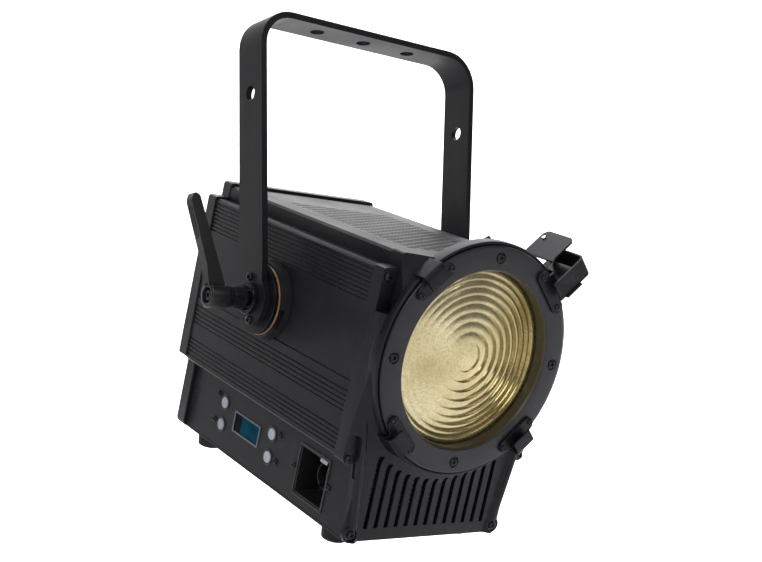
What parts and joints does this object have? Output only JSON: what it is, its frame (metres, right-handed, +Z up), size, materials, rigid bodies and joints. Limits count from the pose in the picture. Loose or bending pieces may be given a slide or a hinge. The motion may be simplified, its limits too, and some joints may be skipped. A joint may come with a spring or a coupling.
{
  "type": "fresnel spotlight",
  "caption": "Theatre fresnel spotlight with a motorised zoom, hung from a tilting yoke with clamp levers, with accessory clips round a stepped glass lens.",
  "frame": {"origin": "centre of the middle clamp-bolt hole, at the top face of the yoke's crossbar", "axes": "+Z up along the yoke, -Y towards the lens side, +X along the crossbar away from the control panel"},
  "size_m": [0.3406, 0.3587, 0.4332],
  "materials": {
    "powder_coat": "fine satin black powder coat",
    "black_steel": "smooth black coated sheet steel",
    "bright_steel": "plain bright steel",
    "bare_aluminium": "bare extruded aluminium",
    "black_plastic": "moulded black glass-filled nylon",
    "rubber": "matt black rubber",
    "copper_fibre": "copper-brown friction fibre",
    "lens_glass": "moulded clear glass with a stippled back, warm in the light of the yellow emitter behind it",
    "button_cap": "silver-grey satin button cap",
    "display": "dark blue display behind a clear window",
    "led_emitter": "yellow phosphor emitter on a ceramic board",
    "circuit_board": "green solder-masked board"
  },
  "bodies": {
    "yoke": {"yoke_bracket": "powder_coat", "friction_disc_left": "black_steel", "friction_disc_right": "black_steel", "pivot_cup_left": "black_steel", "pivot_cup_right": "black_steel"},
    "clamp_left": {"clamp_stud_left": "bright_steel", "lever_screw_left": "black_steel"},
    "clamp_right": {"clamp_stud_right": "bright_steel", "lever_screw_right": "black_steel"},
    "handle_left": {"lever_handle_left": "black_plastic"},
    "handle_right": {"lever_handle_right": "black_plastic"},
    "head": {"fibre_washer_left": "copper_fibre", "fibre_washer_right": "copper_fibre", "pivot_boss_left": "powder_coat", "pivot_boss_right": "powder_coat", "side_skin_left": "powder_coat", "side_skin_right": "powder_coat", "top_grille": "powder_coat", "bottom_tray": "powder_coat", "control_panel": "powder_coat", "connector_panel": "powder_coat", "rear_frame": "powder_coat", "rear_grille": "powder_coat", "safety_eye": "black_steel", "front_casting": "powder_coat", "lens_ring": "powder_coat", "lens_gasket": "rubber", "fresnel_lens": "lens_glass", "accessory_clip_top_left": "black_steel", "accessory_clip_bottom_left": "black_steel", "accessory_clip_bottom_right": "black_steel", "latch_bracket": "black_steel", "latch_pin": "bright_steel", "display_window": "display", "inlet_pocket": "black_plastic", "mains_inlet": "black_plastic", "foot_front_left": "rubber", "foot_front_right": "rubber", "foot_rear_left": "rubber", "foot_rear_right": "rubber", "front_bulkhead": "black_steel", "rear_bulkhead": "black_steel", "guide_rod_left": "bright_steel", "guide_rod_right": "bright_steel", "zoom_motor": "black_steel", "psu_module": "black_plastic", "control_board": "circuit_board"},
    "accessory_latch": {"latch_flap": "black_steel"},
    "button_rear_upper": {"button_rear_upper": "button_cap"},
    "button_rear_lower": {"button_rear_lower": "button_cap"},
    "button_front_upper": {"button_front_upper": "button_cap"},
    "button_front_lower": {"button_front_lower": "button_cap"},
    "inlet_latch": {"inlet_latch": "bright_steel"},
    "zoom_carriage": {"carriage": "black_steel", "led_module": "led_emitter", "led_reflector": "bare_aluminium", "led_heatsink": "bare_aluminium", "fan_frame": "black_plastic"},
    "fan_rotor": {"fan_rotor": "black_plastic"},
    "leadscrew": {"leadscrew": "bright_steel"}
  },
  "joints": [
    {"name": "head_tilt", "type": "hinge", "parent": "yoke", "child": "head", "pos_m": [0, 0, -0.24], "axis": [1, 0, 0], "range_deg": [-108, 71]},
    {"name": "clamp_turn_left", "type": "hinge", "parent": "yoke", "child": "clamp_left", "pos_m": [0, 0, -0.24], "axis": [1, 0, 0], "range_deg": [-90, 90]},
    {"name": "handle_pull_left", "type": "slide", "parent": "clamp_left", "child": "handle_left", "axis": [-1, 0, 0], "range_m": [0, 0.004], "stiffness_N_per_m": 900, "springref_m": -0.002},
    {"name": "clamp_turn_right", "type": "hinge", "parent": "yoke", "child": "clamp_right", "pos_m": [0, 0, -0.24], "axis": [1, 0, 0], "range_deg": [-90, 90]},
    {"name": "handle_pull_right", "type": "slide", "parent": "clamp_right", "child": "handle_right", "axis": [1, 0, 0], "range_m": [0, 0.004], "stiffness_N_per_m": 900, "springref_m": -0.002},
    {"name": "latch_open", "type": "hinge", "parent": "head", "child": "accessory_latch", "pos_m": [0.08768, -0.14265, -0.19549], "axis": [-0.7071, -0.2255, 0.6702], "range_deg": [0, 100], "stiffness_Nm_per_rad": 0.02, "springref_deg": -34.38},
    {"name": "press_rear_upper", "type": "slide", "parent": "head", "child": "button_rear_upper", "axis": [1, 0, 0], "range_m": [0, 0.001], "stiffness_N_per_m": 500, "springref_m": -0.0005},
    {"name": "press_rear_lower", "type": "slide", "parent": "head", "child": "button_rear_lower", "axis": [1, 0, 0], "range_m": [0, 0.001], "stiffness_N_per_m": 500, "springref_m": -0.0005},
    {"name": "press_front_upper", "type": "slide", "parent": "head", "child": "button_front_upper", "axis": [1, 0, 0], "range_m": [0, 0.001], "stiffness_N_per_m": 500, "springref_m": -0.0005},
    {"name": "press_front_lower", "type": "slide", "parent": "head", "child": "button_front_lower", "axis": [1, 0, 0], "range_m": [0, 0.001], "stiffness_N_per_m": 500, "springref_m": -0.0005},
    {"name": "inlet_latch_lift", "type": "hinge", "parent": "head", "child": "inlet_latch", "pos_m": [-0.0579, -0.04896, -0.36885], "axis": [0, 0.9478, 0.319], "range_deg": [0, 15], "stiffness_Nm_per_rad": 0.01, "springref_deg": -17.19},
    {"name": "zoom_slide", "type": "slide", "parent": "head", "child": "zoom_carriage", "axis": [0, 0.9478, 0.319], "range_m": [-0.06, 0.045]},
    {"name": "leadscrew_spin", "type": "hinge", "parent": "head", "child": "leadscrew", "pos_m": [0, 0.02233, -0.30634], "axis": [0, 0.9478, 0.319], "continuous": true},
    {"name": "fan_spin", "type": "hinge", "parent": "zoom_carriage", "child": "fan_rotor", "pos_m": [0, 0, -0.24], "axis": [0, 0.9478, 0.319], "continuous": true}
  ],
  "couplings": [
    {"joint": "leadscrew_spin", "follows": "zoom_slide", "rad_per_m": 785.4}
  ]
}
